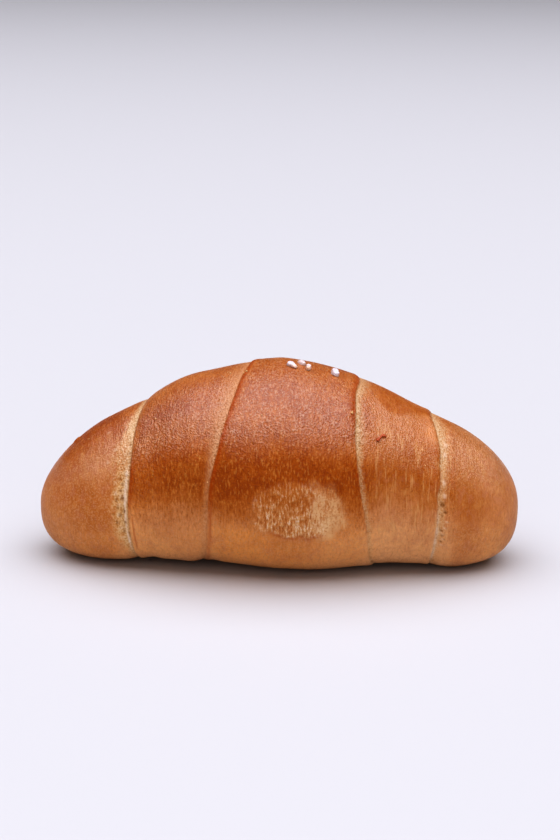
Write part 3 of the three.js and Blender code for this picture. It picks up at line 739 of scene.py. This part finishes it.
def salt_material():
    t = Tree("coarse_salt")
    cloudy = t.noise(t.scaled(1.6, 1.6, 1.6), detail=3.0, rough=0.6)
    clear = t.ramp(cloudy, [(0.3, (0.60, 0.550, 0.580)), (0.7, (0.84, 0.775, 0.780))])
    # warm tint at the grain's ends: painted light from the crust seen through the clear salt
    t.put(t.mix(t.mark("crust_light_through"), clear, (0.80, 0.570, 0.410)), t.shader.inputs["Base Color"])
    t.put(t.remap(cloudy, 0.3, 0.7, 0.25, 0.5), t.shader.inputs["Roughness"])
    t.shader.inputs["IOR"].default_value = 1.54
    t.shader.inputs["Subsurface Weight"].default_value = 0.5
    t.shader.inputs["Subsurface Radius"].default_value = (1.0, 1.0, 1.0)
    t.shader.inputs["Subsurface Scale"].default_value = 0.7 * MM
    bump = t.add("ShaderNodeBump")
    bump.inputs["Strength"].default_value = 0.6
    bump.inputs["Distance"].default_value = 0.2 * MM
    t.put(cloudy, bump.inputs["Height"])
    t.put(bump.outputs["Normal"], t.shader.inputs["Normal"])
    return t.material


def crystal(rng, size, taper):
    """A broken grain of salt: a block with cut corners, out of square and narrower at one end."""
    pts = []
    for corner in [(a, b, c) for a in (-1, 1) for b in (-1, 1) for c in (-1, 1)]:
        for axis in range(3):
            q = np.array(corner, float)
            q[axis] *= 1 - rng.uniform(0.25, 0.95)
            q[1:] *= 1 - taper * (q[0] + 1) / 2
            pts.append(q)
    pts = np.array(pts) * np.array(size) / 2
    pts += rng.normal(scale=0.09, size=pts.shape) * np.array(size)
    return pts


GRAINS = (  # x, angle, length, width, height, turn in its own plane, taper, painted tint of crust light seen through it at its start and its end
    (2.8, 6.8, 2.95, 1.75, 1.25, -50, 0.50, 0.00, 0.70), (5.4, 1.0, 2.20, 1.20, 1.05, -50, 0.15, 0.50, 0.40),
    (7.10, 7.6, 2.25, 1.40, 1.60, -95, 0.50, 0.35, 1.00), (14.4, 6.6, 2.25, 1.80, 1.60, -68, 0.38, 0.00, 0.00),
    (13.75, 3.3, 0.80, 0.55, 0.50, 172, 0.55, 0.30, 0.80))


def salt_grains():
    import bmesh
    rng = np.random.RandomState(5)
    bm = bmesh.new()
    crust_light_through = bm.verts.layers.float.new("crust_light_through")
    for gx, ga, length, width, high, turned, taper, first, last in GRAINS:
        p, n = on_surface(gx, ga)
        n = Vector(n)
        side = Vector((1, 0, 0)) - n * n.x
        side.normalize()
        basis = Matrix.Rotation(math.radians(turned), 3, n) @ Matrix((side, n.cross(side), n)).transposed()
        one = bmesh.new()
        layer = one.verts.layers.float.new("crust_light_through")
        vs = [one.verts.new(q) for q in crystal(rng, (length, width, high), taper)]
        bmesh.ops.convex_hull(one, input=vs)
        bmesh.ops.delete(one, geom=[v for v in one.verts if not v.link_faces], context="VERTS")
        bmesh.ops.bevel(one, geom=list(one.edges), offset=0.07, segments=2, affect="EDGES", clamp_overlap=True)
        centre = Vector(p) + n * (high * 0.34)
        for v in one.verts:
            along = min(max(v.co.x / length + 0.5, 0.0), 1.0)
            v[layer] = first * (1 - along) ** 2 + last * along ** 2
            v.co = (centre + basis @ v.co) * MM
        bmesh.ops.recalc_face_normals(one, faces=one.faces)
        part = bpy.data.meshes.new("grain")
        one.to_mesh(part)
        one.free()
        bm.from_mesh(part)
        bpy.data.meshes.remove(part)
    me = bpy.data.meshes.new("salt_grains")
    bm.to_mesh(me)
    bm.free()
    return me


salt = object_from("salt_grains", salt_grains(), salt_material())

# ------------------------------------------------------------------ crumbs and a flake on the crust

def plain_material(name, colour, roughness):
    t = Tree(name)
    grain = t.noise(t.scaled(1.8, 1.8, 1.8), detail=2.0, rough=0.6)
    low, high = tuple(0.7 * c for c in colour), tuple(min(1.15 * c, 0.9) for c in colour)
    t.put(t.ramp(grain, [(0.3, low), (0.7, high)]), t.shader.inputs["Base Color"])
    t.shader.inputs["Roughness"].default_value = roughness
    t.shader.inputs["Specular IOR Level"].default_value = 0.35
    return t.material


def flake_mesh():
    """A thin curl of crust with a wavy course, lying on its side."""
    steps, ring = 22, 12
    rng = np.random.RandomState(8)
    rough = 1 + 0.10 * rng.normal(size=(steps + 1, 1))
    rows = []
    for i in range(steps + 1):
        s = i / steps
        x = 25.25 + 2.75 * s
        angle = 50.9 - 4.2 * s + 0.9 * math.sin(7.0 * s + 0.2)
        p, n = on_surface(x, angle)
        wide = (0.56 - 0.20 * s) * (1 - (2 * s - 1) ** 6) ** 0.5 * rough[i, 0] + 0.02
        tall = (0.34 + 0.10 * math.sin(9 * s)) * (1 - (2 * s - 1) ** 6) ** 0.5 + 0.02
        down = np.cross(n, [1, 0, 0])
        down /= np.linalg.norm(down)
        for k in range(ring):
            a = 2 * math.pi * k / ring
            rows.append(p + n * (0.14 + tall * math.sin(a)) + down * (wide * math.cos(a) - 0.10 * math.sin(a)))
    faces = [(i * ring + k, i * ring + (k + 1) % ring, (i + 1) * ring + (k + 1) % ring, (i + 1) * ring + k)
             for i in range(steps) for k in range(ring)]
    faces += [tuple(range(ring))[::-1], tuple(steps * ring + k for k in range(ring))]
    me = bpy.data.meshes.new("crust_flake")
    me.from_pydata([tuple(q * MM) for q in rows], [], faces)
    import bmesh
    bm = bmesh.new()
    bm.from_mesh(me)
    bmesh.ops.recalc_face_normals(bm, faces=bm.faces)
    bm.to_mesh(me)
    bm.free()
    me.polygons.foreach_set("use_smooth", [True] * len(me.polygons))
    return me


CRUMBS = (  # x, angle, size
    (18.8, 38.5, 0.85), (-9.4, 11.9, 0.62), (-10.2, 12.6, 0.40), (-18.9, 82.3, 0.50), (-13.8, 9.0, 0.42),
    (-33.4, 34.0, 0.36), (38.6, 58.0, 0.34), (-5.0, 46.0, 0.34), (24.6, 30.0, 0.36), (-52.0, 20.0, 0.36),
    (10.5, 222.0, 0.45), (-27.0, 250.0, 0.50), (6.0, 318.0, 0.42), (33.0, 300.0, 0.46), (-48.0, 330.0, 0.40),
    (52.0, 262.0, 0.38))


def crumbs_mesh():
    import bmesh
    rng = np.random.RandomState(21)
    bm = bmesh.new()
    for cx, ca, size in CRUMBS:
        p, n = on_surface(cx, ca if ca <= 180 else ca - 360)
        made = bmesh.ops.create_icosphere(bm, subdivisions=2, radius=0.5)["verts"]
        stretch = rng.uniform(0.7, 1.15, 3) * size
        wave = rng.uniform(0, 6.3, 6)
        for v in made:
            c = v.co
            lump = 1 + 0.16 * math.sin(5 * c.x * 2 + wave[0]) + 0.14 * math.sin(6 * c.y * 2 + wave[1]) \
                + 0.12 * math.sin(7 * c.z * 2 + wave[2])
            v.co = (Vector(p) + Vector(n) * (0.24 * size) + Vector([c[k] * stretch[k] * lump for k in range(3)])) * MM
    bmesh.ops.recalc_face_normals(bm, faces=bm.faces)
    me = bpy.data.meshes.new("crust_crumbs")
    bm.to_mesh(me)
    bm.free()
    return me


flake = object_from("crust_flake", flake_mesh(), plain_material("dark_flake", (0.42, 0.085, 0.018), 0.42))
crumbs = object_from("crust_crumbs", crumbs_mesh(), plain_material("pale_crumb", (0.80, 0.500, 0.230), 0.6))

# ------------------------------------------------------------------ floor, light, camera

def floor_material():
    t = Tree("pale_floor")
    t.shader.inputs["Base Color"].default_value = (0.57, 0.565, 0.55, 1)
    t.shader.inputs["Roughness"].default_value = 0.75
    return t.material


floor_mesh = bpy.data.meshes.new("floor")
floor_mesh.from_pydata([(-8, -4, 0), (8, -4, 0), (8, 12, 0), (-8, 12, 0)], [], [(0, 1, 2, 3)])
floor_mesh.materials.append(floor_material())
floor = bpy.data.objects.new("floor", floor_mesh)
bpy.context.scene.collection.objects.link(floor)

scene = bpy.context.scene
scene.view_settings.view_transform = "Standard"
scene.view_settings.look = "High Contrast"

world = bpy.data.worlds.new("studio")
scene.world = world
world.use_nodes = True
world.node_tree.nodes["Background"].inputs["Color"].default_value = (0.80, 0.62, 0.50, 1)
world.node_tree.nodes["Background"].inputs["Strength"].default_value = 0.05


def softbox(name, place, aim, size_x, size_y, radiance, colour):
    data = bpy.data.lights.new(name, "AREA")
    data.shape = "RECTANGLE"
    data.size, data.size_y = size_x, size_y
    data.energy = radiance * math.pi * size_x * size_y
    data.color = colour
    ob = bpy.data.objects.new(name, data)
    ob.location = place
    ob.rotation_euler = (Vector(aim) - Vector(place)).to_track_quat("-Z", "Y").to_euler()
    scene.collection.objects.link(ob)
    return ob


softbox("overhead", (0, 0.1, 2.6), (0, 0.1, 0), 5.6, 4.6, 2.08, (0.88, 0.885, 1.0))
softbox("front", (0, -2.7, 1.15), (0, 0, 0.03), 4.2, 1.9, 0.92, (0.95, 0.93, 1.0))

ELEVATION, DISTANCE, TILT = math.radians(16.0), 580.0, math.radians(1.1)
FOCAL = 2100.0                                                       # in pixels of a 560 x 840 frame
TARGET, TARGET_PIXEL = Vector((0, 0, 26.25)), (280.0, 463.0)


def make_camera():
    place = TARGET + DISTANCE * Vector((0, -math.cos(ELEVATION), math.sin(ELEVATION)))
    du, dv = TARGET_PIXEL[0] - 280, TARGET_PIXEL[1] - 420
    c, s = math.cos(TILT), math.sin(TILT)
    u0, v0 = c * du + s * dv, -s * du + c * dv
    pitch, yaw = ELEVATION - math.atan(v0 / FOCAL), math.atan(u0 / FOCAL)
    forward = Vector((-math.sin(yaw) * math.cos(pitch), math.cos(yaw) * math.cos(pitch), -math.sin(pitch))).normalized()
    right = forward.cross(Vector((0, 0, 1))).normalized()
    up = right.cross(forward)
    r, u = c * right + s * up, c * up - s * right
    data = bpy.data.cameras.new("camera")
    data.sensor_width, data.lens = 36.0, FOCAL / 840 * 36.0
    data.clip_start, data.clip_end = 0.01, 100
    ob = bpy.data.objects.new("camera", data)
    scene.collection.objects.link(ob)
    m = Matrix((r, u, -forward)).transposed().to_4x4()
    m.translation = place * MM
    ob.matrix_world = m
    scene.camera = ob


make_camera()
